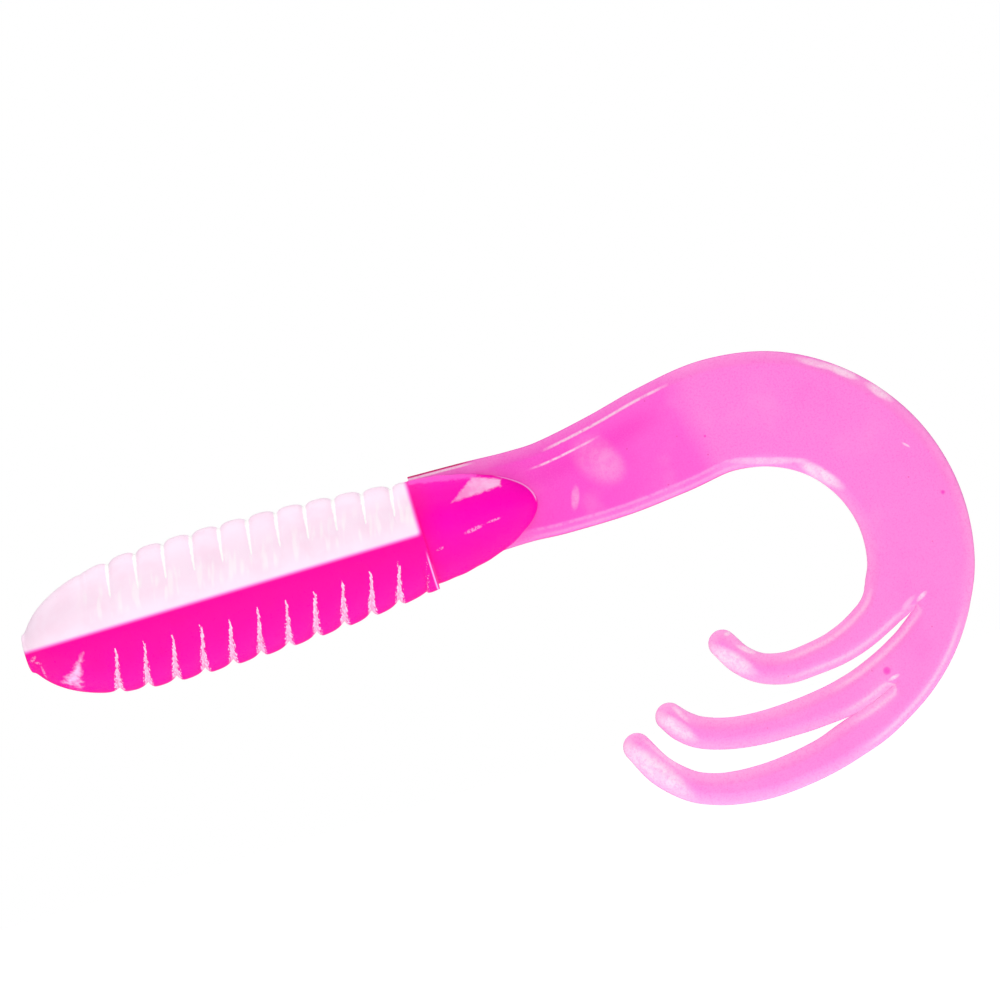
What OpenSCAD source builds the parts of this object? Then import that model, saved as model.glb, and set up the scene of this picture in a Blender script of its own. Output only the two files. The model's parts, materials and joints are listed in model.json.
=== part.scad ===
// Soft plastic grub: a ribbed two-colour body, a bullet-shaped rear and a flat
// curled tail that splits into three tentacles.
//
// Frame: the origin is the centre of the nose's flat end, +X runs along the body
// towards the tail, +Z points to the pale back and Y goes across. The bait is
// symmetrical about the plane Y = 0, and its tail lies in that plane.
//
// The casting bends everywhere, so it is cut at its grooves and across its tail,
// and every cut is a hinge of one of three kinds:
//   body groove   a ball in a socket, between faces coned for the bend
//   "sway"        a round edge in a hollow one, for a bend out of the tail's plane
//   "curl"        a round tongue in a notch, for a bend within the tail's plane

/* [Body] */
// Largest diameter of the body
body_d = 14.9; // [12:0.1:18]
// Distance from the nose's flat to the fattest rib
fat_x = 20; // [16:0.5:24]
// How much smaller the radius is at the rear end of the body
rear_taper = 1.5; // [0.5:0.1:2.5]
// Length of the smooth nose, up to the first groove
nose_l = 8.5; // [7:0.1:11]
// Diameter of the flat on the nose, where a jig head's collar sits
seat_d = 4; // [3:0.5:5]
// Distance from one groove to the next
rib_pitch = 3.1; // [2.8:0.1:3.6]
// Depth of the grooves
groove_d = 0.6; // [0.3:0.1:0.9]
// Length of the smooth ring behind the last groove
collar_l = 1.4; // [1:0.1:2]
// Height of the plane between the pale back and the pink belly
split_z = 0.3; // [0:0.1:1]

/* [Bullet] */
// Diameter of the bullet-shaped rear where it leaves the body
bullet_d = 11.4; // [10:0.1:11.8]
// Length of the bullet, of which the last half millimetre is inside the tail
bullet_l = 12.9; // [10:0.1:14]

/* [Tail] */
// Thickness of the tail where it leaves the bullet
root_t = 2.4; // [2:0.1:3]
// Thickness of the tail blade and of the tentacles
blade_t = 2.0; // [1.6:0.1:2.4]
// Radius of the curl, at the middle of the blade
curl_r = 16.7; // [16:0.1:17.5]
// Angle from one hinge to the next round the curl
curl_step = 21; // [20:0.5:22]

/* [Bending] */
// Largest bend of one groove, which sets how far its faces are coned
groove_bend = 6; // [4:0.5:7]
// Largest bend of one tail hinge that opens the curl
uncurl_bend = 18; // [10:1:20]
// Largest bend of one tail hinge that tightens the curl
curl_bend = 5; // [3:1:8]
// Clearance between two segments, where they meet
gap = 0.1; // [0.05:0.01:0.15]

/* [Hidden] */
rib_count = 11;
body_l = nose_l + rib_count * rib_pitch + collar_l;
ball_r = 2;
tongue_r = 2.4;
relief = groove_bend / 2 + 0.3;
// How far before a sway hinge the hollow edge stops, so that its lips stay clear
lip = 0.45;
// Half the size of the blocks that trim the ends of segments
trim = 30;
$fn = 48;

// Centrelines, one row for each knot: x, z and the width there. The curl's centre
// is measured from the body's rear end, and the tentacles from the curl's centre.
curl_c = [body_l + 33.5, -13.5];

neck = [
    for (k = [[0, 1.2, 10.4], [6, 1.1, 10.2], [11, 1, 9.9], [15, 0.95, 10.3],
              [21.3, 1.5, 11.4], [27.4, 2.45, 12.2]])
        [body_l + k[0], k[1], k[2]]
];
curl_w = [12.2, 12.2, 11.9, 11.7, 11.5, 11.4, 11.4];
blade_path = concat(neck, [
    for (i = [0 : len(curl_w) - 1])
        let (a = 90 - curl_step * i)
        [curl_c[0] + curl_r * cos(a), curl_c[1] + curl_r * sin(a), curl_w[i]]
]);

function from_curl(rows) =
    [for (k = rows) [curl_c[0] + k[0], curl_c[1] + k[1], k[2]]];

// The stretch that the middle and the outer tentacle share, before their slit
pair_path = from_curl([[19.2, -5, 4.6], [17.6, -8.4, 5.4], [14.6, -12.2, 6.3],
                       [10.3, -15.3, 7.5]]);
inner_path = from_curl([[13.3, -4.9, 6.4], [12.5, -6.1, 6.2], [8.5, -9.1, 4.4],
                        [5.3, -10.4, 3.8], [2.1, -10.9, 3.5], [-0.7, -11, 3.4],
                        [-3.3, -10.25, 3.2], [-5.2, -8.7, 3.1], [-6.5, -6.6, 3]]);
middle_path = from_curl([[10.7, -12.8, 3.4], [9.3, -13.8, 3.7], [6.8, -15, 3.9],
                         [4, -15.7, 3.8], [0.8, -16.2, 3.8], [-2.5, -16.35, 3.6],
                         [-5.5, -16.3, 3.5], [-8.5, -15.9, 3.4],
                         [-11.3, -15, 3.4], [-13, -13.8, 3.3], [-14.1, -12.4, 3]]);
outer_path = from_curl([[13.2, -15.4, 3.4], [11.4, -16.9, 3.6], [7.3, -19.1, 4],
                        [3.5, -20.4, 4], [0.3, -21.2, 4], [-2.9, -21.7, 3.9],
                        [-5.9, -21.9, 3.8], [-9, -21.7, 3.6], [-11.6, -21.15, 3.4],
                        [-14.1, -20, 3.3], [-16.6, -17.6, 3.2], [-18.3, -14.5, 3]]);

// Knots that carry a hinge. The tail's own start at the neck and end at the fork.
first_blade_knot = 3;
blade_count = 8;
fork_knot = first_blade_knot + blade_count;
inner_knots = [2, 4, 6, 8];
middle_knots = [3, 5, 7, 10];
outer_knots = [3, 5, 7, 9, 11];

function two(i) = i < 10 ? str("0", i) : str(i);

// ---- The body ----

function groove_x(i) = nose_l + rib_pitch * i;

// Radius of the body's envelope: a blunt nose, then a slow taper to the rear
function body_r(x) =
    x < fat_x
        ? body_d / 2 * sqrt(1 - pow(1 - x / fat_x, 3))
        : body_d / 2 - rear_taper * pow((x - fat_x) / (body_l - fat_x), 2);

// Radius of a rib at x, between the grooves at x0 and x1
function rib_r(x, x0, x1) =
    body_r(x) - groove_d * pow(abs(2 * (x - x0) / (x1 - x0) - 1), 3);

// Where a coned face that leaves the axis at x reaches radius r
function coned(x, r, side) = x + side * (gap / 2 + r * tan(relief));

function rib_outline(x0, x1, steps = 8) =
    let (r = body_r((x0 + x1) / 2) - groove_d,
         a = coned(x0, r, 1),
         b = coned(x1, r, -1))
    concat(
        [[0, x0 + gap / 2]],
        [for (i = [0 : steps]) let (x = a + (b - a) * i / steps) [rib_r(x, x0, x1), x]],
        [[0, x1 - gap / 2]]
    );

function nose_outline(steps = 10) =
    let (start = 0.6, rim = body_r(nose_l) - groove_d, end = coned(nose_l, rim, -1))
    concat(
        [[0, 0], [seat_d / 2, 0]],
        [for (i = [0 : steps])
            let (x = start + (end - 0.8 - start) * i / steps)
            [body_r(x), x]],
        [[rim, end], [0, nose_l - gap / 2]]
    );

function collar_outline() =
    let (x0 = groove_x(rib_count), r = body_r(body_l), a = coned(x0, r - groove_d, 1))
    [[0, x0 + gap / 2], [r - groove_d, a], [r, a + 0.5], [r, body_l], [0, body_l]];

function bullet_outline(steps = 12) =
    concat(
        [[0, 0]],
        [for (i = [0 : steps])
            let (u = i / steps)
            [bullet_d / 2 * sqrt(1 - pow(u, 1.6)), bullet_l * u]]
    );

// A solid of revolution about the body's axis
module turned(outline) rotate([0, 90, 0]) rotate_extrude() polygon(outline);

module ball(i, r) translate([groove_x(i), 0, 0]) sphere(r);

// All that lies ahead of x
module ahead_of(x) translate([x - 2 * trim, -trim, -trim]) cube(2 * trim);

// What lies above the split plane is cast pale, and what lies below it pink
module above() translate([-trim, -trim, split_z]) cube(4 * trim);
module below() translate([-trim, -trim, split_z - 4 * trim]) cube(4 * trim);

module nose() {
    difference() {
        turned(nose_outline());
        ball(0, ball_r + gap);
    }
}

module rib(i) {
    difference() {
        union() {
            turned(rib_outline(groove_x(i - 1), groove_x(i)));
            ball(i - 1, ball_r);
        }
        ball(i, ball_r + gap);
    }
}

module collar() {
    turned(collar_outline());
    intersection() {
        ball(rib_count, ball_r);
        ahead_of(body_l - collar_l / 3);
    }
}

module bullet_solid()
    translate([body_l, 0, split_z]) turned(bullet_outline());

module pale_back() color([1, 0.9, 0.97]) intersection() { children(); above(); }
module pink_belly() color([1, 0, 0.66]) intersection() { children(); below(); }
module bullet() color([1, 0, 0.7]) bullet_solid();

// ---- The tail ----

function knot(p, i) =
    i < 0 ? 2 * p[0] - p[1]
    : i >= len(p) ? 2 * p[len(p) - 1] - p[len(p) - 2]
    : p[i];

function spline(a, b, c, d, t) =
    0.5 * (2 * b + (c - a) * t + (2 * a - 5 * b + 4 * c - d) * t * t
           + (3 * b - a - 3 * c + d) * t * t * t);

// The row x, z, width at u knots along a centreline
function along(p, u) =
    let (i = min(max(floor(u), 0), len(p) - 2))
    spline(knot(p, i - 1), knot(p, i), knot(p, i + 1), knot(p, i + 2), u - i);

function heading(p, u) =
    let (d = along(p, u + 0.01) - along(p, u - 0.01)) atan2(d[1], d[0]);

// The point on the left edge (side 1) or on the right edge (side -1)
function edge(p, u, side) =
    let (q = along(p, u), h = heading(p, u), r = side * q[2] / 2)
    [q[0] - r * sin(h), q[1] + r * cos(h)];

// Draws a flat outline in the plane Y = 0 as a plate of thickness t
module plate(t) rotate([90, 0, 0]) linear_extrude(t, center = true) children();

module band(p, from, to, t) {
    steps = ceil((to - from) * 4);
    at = [for (i = [0 : steps]) from + (to - from) * i / steps];
    plate(t) polygon(concat(
        [for (u = at) edge(p, u, 1)],
        [for (i = [steps : -1 : 0]) edge(p, at[i], -1)]
    ));
}

// Puts a hinge on its knot, with +X along the tail and +Z to its left edge
module at_knot(p, i)
    translate([p[i][0], 0, p[i][1]]) rotate([0, -heading(p, i), 0]) children();

// All that lies before a hinge, less a wedge of relief at each edge
module before(start, left, right)
    plate(trim) polygon([
        [start, 0], [start + trim * tan(left), trim], [-trim, trim],
        [-trim, -trim], [start + trim * tan(right), -trim]
    ]);

// The parts of a hinge of either kind: what trims each end, and what turns in what
module front_trim(kind)
    if (kind == "sway") before(0, 0, 0);
    else before(gap, uncurl_bend / 2 + 0.5, curl_bend / 2 + 0.5);

module rear_trim(kind)
    mirror([1, 0, 0])
        if (kind == "sway") before(lip, 0, 0);
        else before(gap, uncurl_bend / 2 + 0.5, curl_bend / 2 + 0.5);

module pivot(kind, w, t, extra = 0)
    if (kind == "sway") cylinder(h = w + 4 * extra, r = t / 2 + extra, center = true);
    else rotate([90, 0, 0])
        cylinder(h = t + 4 * extra, r = min(tongue_r, w / 3) + extra, center = true);

module hinge_hollow(p, i, kind, t)
    at_knot(p, i) {
        rear_trim(kind);
        pivot(kind, p[i][2], t, gap);
    }

// A tail segment between the hinges at knots a and b, or up to a round tip
module segment(p, a, b, kind_a, kind_b, t = blade_t) {
    tip = kind_b == "tip";
    difference() {
        union() {
            difference() {
                band(p, a - 0.4, tip ? b : b + 0.4, t);
                at_knot(p, a) front_trim(kind_a);
            }
            at_knot(p, a) pivot(kind_a, p[a][2] - 0.4, t);
            if (tip) at_knot(p, b) rotate([90, 0, 0])
                cylinder(h = t, r = p[b][2] / 2, center = true);
        }
        if (!tip) hinge_hollow(p, b, kind_b, t);
    }
}

function kind_of(i) = i % 2 == 1 ? "sway" : "curl";

tail_pink = [1, 0.5, 0.86];

module tail_root() {
    color(tail_pink) difference() {
        band(blade_path, 0, first_blade_knot + 0.4, root_t);
        ahead_of(body_l);
        bullet_solid();
        hinge_hollow(blade_path, first_blade_knot, "sway", root_t);
    }
}

module blade(i) {
    a = first_blade_knot + i - 1;
    color(tail_pink) segment(blade_path, a, a + 1, kind_of(i), kind_of(i + 1));
}

// One strip of the fork, from its own start to the hinge of its tentacle
module fork_strip(p, to)
    difference() {
        band(p, 0, to + 0.4, blade_t);
        hinge_hollow(p, to, "sway", blade_t);
    }

module fork() {
    color(tail_pink) {
        difference() {
            band(blade_path, fork_knot - 0.4, fork_knot + 0.65, blade_t);
            at_knot(blade_path, fork_knot) front_trim("sway");
        }
        at_knot(blade_path, fork_knot)
            pivot("sway", blade_path[fork_knot][2] - 0.4, blade_t);
        band(pair_path, 0, 3, blade_t);
        fork_strip(inner_path, inner_knots[0]);
        fork_strip(middle_path, middle_knots[0]);
        fork_strip(outer_path, outer_knots[0]);
    }
}

module tentacle(p, knots, i)
    color(tail_pink)
        segment(p, knots[i - 1], knots[i], kind_of(i),
                i == len(knots) - 1 ? "tip" : kind_of(i + 1));

// ---- The nodes ----

pale_back() nose();  // nose_back
pink_belly() nose();  // nose_belly
for (i = [1 : rib_count]) {
    pale_back() rib(i);
    pink_belly() rib(i);
}
pale_back() collar();  // collar_back
pink_belly() collar();  // collar_belly
bullet();
tail_root();
for (i = [1 : blade_count])
    blade(i);
fork();
for (i = [1 : len(inner_knots) - 1])
    tentacle(inner_path, inner_knots, i);
for (i = [1 : len(middle_knots) - 1])
    tentacle(middle_path, middle_knots, i);
for (i = [1 : len(outer_knots) - 1])
    tentacle(outer_path, outer_knots, i);
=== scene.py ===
"""Looks of the soft plastic grub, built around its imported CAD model.

The bait is one soft casting, so its skin is drawn here as continuous surfaces and then
cut into pieces half way between the hinges. Each piece bends across one hinge, and the
rings where two pieces meet move with one body, so the pieces stay joined in every pose.
The skin is open along part of the tail's two slits, as told at SLITS.
Shapes are worked out in millimetres and turned into metres when a mesh is made.
"""

import json
import math

import bmesh
import bpy
import numpy as np
from mathutils import Matrix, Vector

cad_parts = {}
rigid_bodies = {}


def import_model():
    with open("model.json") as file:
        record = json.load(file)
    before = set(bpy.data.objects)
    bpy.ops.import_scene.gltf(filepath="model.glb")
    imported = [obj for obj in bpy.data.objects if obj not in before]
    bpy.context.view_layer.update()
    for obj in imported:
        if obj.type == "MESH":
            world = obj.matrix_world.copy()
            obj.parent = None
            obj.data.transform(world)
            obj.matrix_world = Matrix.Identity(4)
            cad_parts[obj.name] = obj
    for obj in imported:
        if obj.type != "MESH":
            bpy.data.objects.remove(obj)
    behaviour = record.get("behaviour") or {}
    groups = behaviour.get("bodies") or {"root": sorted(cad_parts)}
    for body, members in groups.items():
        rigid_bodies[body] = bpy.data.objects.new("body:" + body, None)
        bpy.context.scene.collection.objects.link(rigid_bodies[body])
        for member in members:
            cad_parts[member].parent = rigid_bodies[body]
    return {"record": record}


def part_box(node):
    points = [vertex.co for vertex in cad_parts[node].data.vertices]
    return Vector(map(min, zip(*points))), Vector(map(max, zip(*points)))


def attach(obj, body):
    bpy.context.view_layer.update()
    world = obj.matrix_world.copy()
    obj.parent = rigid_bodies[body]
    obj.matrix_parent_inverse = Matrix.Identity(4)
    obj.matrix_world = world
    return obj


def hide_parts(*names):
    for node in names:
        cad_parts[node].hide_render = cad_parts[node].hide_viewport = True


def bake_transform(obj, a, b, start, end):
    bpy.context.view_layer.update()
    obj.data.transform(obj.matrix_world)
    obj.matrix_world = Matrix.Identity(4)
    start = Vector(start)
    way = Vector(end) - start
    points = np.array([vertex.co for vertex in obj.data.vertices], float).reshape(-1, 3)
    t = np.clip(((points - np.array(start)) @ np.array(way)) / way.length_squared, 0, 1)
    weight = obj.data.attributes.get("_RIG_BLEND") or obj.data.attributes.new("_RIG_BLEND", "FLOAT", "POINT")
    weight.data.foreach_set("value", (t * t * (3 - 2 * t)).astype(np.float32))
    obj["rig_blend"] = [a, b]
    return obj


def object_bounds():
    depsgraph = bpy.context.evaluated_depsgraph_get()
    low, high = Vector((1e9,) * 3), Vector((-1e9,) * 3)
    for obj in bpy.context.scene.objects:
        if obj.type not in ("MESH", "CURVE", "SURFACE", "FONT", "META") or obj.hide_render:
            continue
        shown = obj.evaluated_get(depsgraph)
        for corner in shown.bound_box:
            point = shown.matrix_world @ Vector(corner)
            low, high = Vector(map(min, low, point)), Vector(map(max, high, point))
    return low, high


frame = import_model()
cad_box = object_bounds()

MM = 0.001

# ---- What the frame says ----

HINGES = {(j["parent"], j["child"]): j for j in frame["record"]["behaviour"]["joints"]}
BODY_CHAIN = ["nose"] + [f"rib_{i:02d}" for i in range(1, 12)] + ["rear"]
TAIL_CHAIN = ["rear"] + [f"blade_{i}" for i in range(1, 9)] + ["fork"]


def hinge_place(a, b):
    return np.array(HINGES[a, b]["pos_m"]) / MM


def node_box(node):
    low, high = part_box(node)
    return np.array(low) / MM, np.array(high) / MM


GROOVE_X = [hinge_place(a, b)[0] for a, b in zip(BODY_CHAIN, BODY_CHAIN[1:])]
PITCH = GROOVE_X[1] - GROOVE_X[0]
BODY_L = node_box("collar_back")[1][0]
BODY_R = cad_box[1].y / MM
SPLIT_Z = node_box("nose_back")[0][2]
BULLET_TIP = node_box("bullet")[1][0]
BULLET_R = node_box("bullet")[1][1]

# ---- Camera ----

VIEW_ROLL = math.radians(16.7)
VIEW_WIDTH = 1.06 * (cad_box[1].x - cad_box[0].x)
VIEW_LENS = 200.0
VIEW_SENSOR = 36.0
VIEW_CENTRE_X = 0.0528
VIEW_CENTRE_Z = 0.00125


def make_camera():
    data = bpy.data.cameras.new("camera")
    data.lens = VIEW_LENS
    data.sensor_width = VIEW_SENSOR
    data.clip_end = 10.0
    camera = bpy.data.objects.new("camera", data)
    bpy.context.scene.collection.objects.link(camera)
    c, s = math.cos(VIEW_ROLL), math.sin(VIEW_ROLL)
    away = VIEW_WIDTH * VIEW_LENS / VIEW_SENSOR
    camera.matrix_world = Matrix(
        (
            (c, s, 0, VIEW_CENTRE_X),
            (0, 0, -1, -away),
            (-s, c, 0, VIEW_CENTRE_Z),
            (0, 0, 0, 1),
        )
    )
    bpy.context.scene.camera = camera


make_camera()

# ---- Surfaces cut into pieces ----


def smooth(t):
    t = np.clip(t, 0, 1)
    return t * t * (3 - 2 * t)


class Skin:
    """A surface gathered patch by patch. Points that coincide become one vertex, so
    patches join without a seam, and pieces that meet share their normals there."""

    def __init__(self, *attributes):
        self.attributes = attributes
        self.points, self.values, self.faces = [], [], []
        self.count = 0

    def add_points(self, points, values):
        start = self.count
        flat = np.asarray(points, float).reshape(-1, 3)
        self.points.append(flat)
        self.values.append(np.column_stack([np.ravel(values[a]) for a in self.attributes]))
        self.count += len(flat)
        return start

    def patch(self, piece, points, values, flip=False):
        """Adds a grid of points as quads; flip turns its faces over."""
        rows, columns = points.shape[:2]
        index = np.arange(rows * columns).reshape(rows, columns)
        index += self.add_points(points, values)
        quads = np.stack([index[:-1, :-1], index[1:, :-1], index[1:, 1:], index[:-1, 1:]], -1)
        quads = quads.reshape(-1, 4)[:, :: -1 if flip else 1]
        self.faces += [(piece, tuple(q), True) for q in quads.tolist()]

    def flat_face(self, piece, points, values, flip=False):
        """Adds one flat polygon, such as the end of a slice, that shades as flat."""
        start = self.add_points(points, values)
        corners = list(range(start, self.count))
        self.faces.append((piece, tuple(corners[:: -1 if flip else 1]), False))

    def merge(self):
        points = np.concatenate(self.points)
        keys = np.round(points, 4) + 0.0
        _, first, which = np.unique(keys, axis=0, return_index=True, return_inverse=True)
        which = which.ravel()
        self.merged = points[first]
        self.merged_values = np.concatenate(self.values)[first]
        faces = []
        for piece, corners, soft in self.faces:
            ring = [int(which[c]) for c in corners]
            ring = [v for k, v in enumerate(ring) if v != ring[k - 1]]
            if len(set(ring)) >= 3:
                faces.append((piece, ring, soft))
        self.normals = np.zeros_like(self.merged)
        self.face_normals = []
        for _, ring, soft in faces:
            p = self.merged[ring]
            normal = np.cross(p, np.roll(p, -1, axis=0)).sum(axis=0)
            self.face_normals.append(normal / max(np.linalg.norm(normal), 1e-12))
            if soft:
                self.normals[ring] += normal
        lengths = np.linalg.norm(self.normals, axis=1, keepdims=True)
        self.normals /= np.maximum(lengths, 1e-12)
        self.merged_faces = faces

    def pieces(self):
        """Makes one object for each piece name and returns them by name."""
        self.merge()
        by_piece = {}
        for face, normal in zip(self.merged_faces, self.face_normals):
            by_piece.setdefault(face[0], []).append((face[1], face[2], normal))
        return {name: self.make(name, faces) for name, faces in by_piece.items()}

    def make(self, name, faces):
        used = sorted({v for ring, _, _ in faces for v in ring})
        place = {v: k for k, v in enumerate(used)}
        mesh = bpy.data.meshes.new(name)
        mesh.from_pydata(
            (self.merged[used] * MM).tolist(), [], [[place[v] for v in r] for r, _, _ in faces]
        )
        mesh.polygons.foreach_set("use_smooth", [soft for _, soft, _ in faces])
        rest = mesh.attributes.new("rest", "FLOAT_VECTOR", "POINT")
        rest.data.foreach_set("vector", self.merged[used].astype(np.float32).ravel())
        for k, attribute in enumerate(self.attributes):
            layer = mesh.attributes.new(attribute, "FLOAT", "POINT")
            column = np.ascontiguousarray(self.merged_values[used, k], np.float32)
            layer.data.foreach_set("value", column)
        corner_normals = [
            tuple(self.normals[v]) if soft else tuple(normal)
            for ring, soft, normal in faces
            for v in ring
        ]
        mesh.normals_split_custom_set(corner_normals)
        piece = bpy.data.objects.new(name, mesh)
        bpy.context.scene.collection.objects.link(piece)
        return piece


# ---- The ribbed body ----

FAT_X = 20.0
REAR_TAPER = 1.5
FLAT_R = 1.4
# The rounded rim of the nose's flat end: how long it is, and how much wider it gets
NOSE_ROUND = 0.3
NOSE_WIDENS = 0.7
# Depth of a groove in the back and in the belly
GROOVE_TOP = 0.42
GROOVE_UNDER = 0.5
# The share of that depth which the first groove has in the back, and the last in the belly
FIRST_GROOVE_TOP = 0.3
LAST_GROOVE_UNDER = 0.25
# How far a groove reaches from its middle, and how sharply it ends
NOTCH_TOP = (0.42, 1.3)
NOTCH_UNDER_AHEAD = (0.62, 1.3)
NOTCH_UNDER_BEHIND = (0.26, 1.5)
# A groove's offset along the body at the top or bottom, and what is added towards the sides
LEAN_TOP = (-0.55, -0.35)
LEAN_UNDER = (0.05, 1.1)
# How much lower a rib of the back is at both its ends, and one of the belly at its rear end
CROWN_TOP = 0.10
CROWN_UNDER = 0.20
# The lower edge of the tail's plastic on the bullet: its height behind the collar, how that
# falls, and where and how far it drops at the tip
FILM_Z = 5.5
FILM_SLOPE = 0.185
FILM_END = 7.0
FILM_DROP = 9.0
# How blunt the bullet's tip is, and the share of its radius by which it ripples
BULLET_BLUNT = 1.6
BULLET_RIPPLE = 0.005
AROUND = 72
RIB_ROWS = 34
NOSE_ROWS = 60
BULLET_ROWS = 90
BULLET_AROUND = 150


def body_radius(x):
    ahead = BODY_R * np.sqrt(np.clip(1 - np.clip(1 - x / FAT_X, 0, 1) ** 3, 0, 1))
    behind = BODY_R - REAR_TAPER * ((x - FAT_X) / (BODY_L - FAT_X)) ** 2
    radius = np.where(x < FAT_X, ahead, behind)
    rim = FLAT_R + NOSE_WIDENS * np.sqrt(1 - (1 - np.clip(x / NOSE_ROUND, 0, 1)) ** 2)
    return (radius**8 + rim**8) ** (1 / 8)


def notch(e, reach, power):
    """Share of a groove's depth at a distance from its middle."""
    return np.exp(-np.power(np.abs(e) / reach, power))


def grooves(x, phi):
    """Depth of the grooves, and how strongly the highlight painted along them shows. The grooves
    are cut into the back and the belly and fade out on the sides, and they lean a little."""
    up = np.sin(phi)
    steep = np.abs(up)
    side = np.clip((1 - steep) / 0.6, 0, 1)
    over = up > 0
    lean = np.where(
        over, LEAN_TOP[0] + LEAN_TOP[1] * side, LEAN_UNDER[0] + LEAN_UNDER[1] * side
    )
    q = (x - GROOVE_X[0] - lean) / PITCH
    depth = np.zeros_like(q)
    line = np.zeros_like(q)
    for i in range(len(GROOVE_X)):
        e = (q - i) * PITCH
        strong_top = FIRST_GROOVE_TOP if i == 0 else 1.0
        strong_under = LAST_GROOVE_UNDER if i == len(GROOVE_X) - 1 else 1.0
        notch_top = notch(e, *NOTCH_TOP)
        notch_under = np.where(e < 0, notch(e, *NOTCH_UNDER_AHEAD), notch(e, *NOTCH_UNDER_BEHIND))
        depth += np.where(
            over,
            strong_top * GROOVE_TOP * notch_top,
            strong_under * GROOVE_UNDER * notch_under,
        )
        width_top = 0.12 + 0.13 * smooth((steep - 0.5) / 0.5)
        width_under = 0.14 + 0.34 * np.clip((steep - 0.4) / 0.6, 0, 1) ** 1.4
        width = np.where(over, width_top, width_under)
        line += np.where(over, strong_top, strong_under) * np.exp(-((e / width) ** 2))
    u = np.clip(q - np.floor(q), 0, 1)
    ribbed = (x > GROOVE_X[0]) & (x < GROOVE_X[-1] + 0.4)
    crown = np.where(over, CROWN_TOP * np.abs(2 * u - 1) ** 2, CROWN_UNDER * u**2)
    depth += np.where(ribbed, crown, 0)
    fade = smooth((steep - 0.1) / 0.9)
    line_fade = np.where(over, smooth((steep - 0.36) / 0.2), smooth((steep - 0.26) / 0.12))
    return depth * fade, line * line_fade


def body_rows(x, start, end):
    """Rings at x, over the part of the circle between two angles given for each ring."""
    t = np.linspace(0, 1, AROUND)
    phi = start[:, None] + (end - start)[:, None] * t
    across = np.repeat(x[:, None], AROUND, axis=1)
    depth, line = grooves(across, phi)
    r = body_radius(across) - depth
    points = np.stack([across, r * np.cos(phi), r * np.sin(phi)], -1)
    none = np.zeros(line.shape)
    return points, {"line": line, "shine": none, "film": none - BODY_R}


def half_body(skin, piece, x, back):
    """One closed slice of the back or of the belly."""
    lift = np.arcsin(SPLIT_Z / body_radius(x))
    if back:
        start, end = lift, math.pi - lift
    else:
        start, end = math.pi - lift, 2 * math.pi + lift
    points, values = body_rows(x, start, end)
    skin.patch(piece, points, values, flip=True)
    for row, flip in ((0, False), (-1, True)):
        ring = {k: v[row] for k, v in values.items()}
        skin.flat_face(piece, points[row], ring, flip)
    for k in range(len(x) - 1):
        corners = [(k, 0), (k + 1, 0), (k + 1, -1), (k, -1)]
        skin.flat_face(
            piece,
            np.array([points[i, j] for i, j in corners]),
            {name: np.array([v[i, j] for i, j in corners]) for name, v in values.items()},
        )


def body_skin():
    skin = Skin("line", "shine", "film")
    cuts = [g + PITCH / 2 for g in GROOVE_X[:-1]] + [BODY_L]
    first = GROOVE_X[0] - PITCH / 2
    nose_x = first * np.linspace(0, 1, NOSE_ROWS) ** 2
    for half in ("back", "belly"):
        half_body(skin, f"nose_{half}_skin", nose_x, half == "back")
        start = first
        for i, cut in enumerate(cuts):
            name = f"rib_{i + 1:02d}" if i < len(cuts) - 1 else "collar"
            x = np.linspace(start, cut, RIB_ROWS)
            half_body(skin, f"{name}_{half}_skin", x, half == "back")
            start = cut
    return skin.pieces()


def bullet_skin():
    """The bullet. Its shine is a highlight painted behind the collar's lower edge and where the tail's
    plastic climbs its tip; its film is the height above the lower edge of the tail's plastic
    that runs over its top."""
    skin = Skin("line", "shine", "film")
    reach = BULLET_TIP - BODY_L
    u = reach * (1 - (1 - np.linspace(0, 1, BULLET_ROWS)) ** 2)
    r = BULLET_R * np.sqrt(np.clip(1 - (u / reach) ** BULLET_BLUNT, 0, 1))
    phi = np.linspace(0, 2 * math.pi, BULLET_AROUND + 1)
    x = np.repeat((BODY_L + u)[:, None], BULLET_AROUND + 1, axis=1)
    ripple = BULLET_RIPPLE * np.sin(2.3 * x + 3 * np.cos(phi)) * smooth((x - BODY_L) / 2)
    radius = r[:, None] * (1 + ripple)
    points = np.stack([x, radius * np.cos(phi), SPLIT_Z + radius * np.sin(phi)], -1)
    points[:, -1] = points[:, 0]
    u = x - BODY_L
    # Where a highlight is painted: behind the collar's lower edge, and where the tail's plastic climbs the
    # tip
    behind = np.exp(-(((u - 0.12) / 0.12) ** 2)) * smooth((-np.sin(phi) - 0.45) / 0.2)
    over = np.abs(points[..., 1]) - ROOT_HALF_T
    climb = np.exp(-(((over - 0.12) / 0.16) ** 2))
    climb = climb * smooth((u - 8) / 2) * smooth((points[..., 2] + 0.6) / 1.5)
    film = points[..., 2] - (FILM_Z - FILM_SLOPE * u) - FILM_DROP * smooth((u - FILM_END) / 2)
    values = {"line": np.zeros(x.shape), "shine": behind + climb, "film": film}
    skin.patch("bullet_skin", points, values, flip=True)
    skin.flat_face("bullet_skin", points[0, :-1], {k: v[0, :-1] for k, v in values.items()})
    return skin.pieces()["bullet_skin"]


# ---- The tail ----

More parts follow.
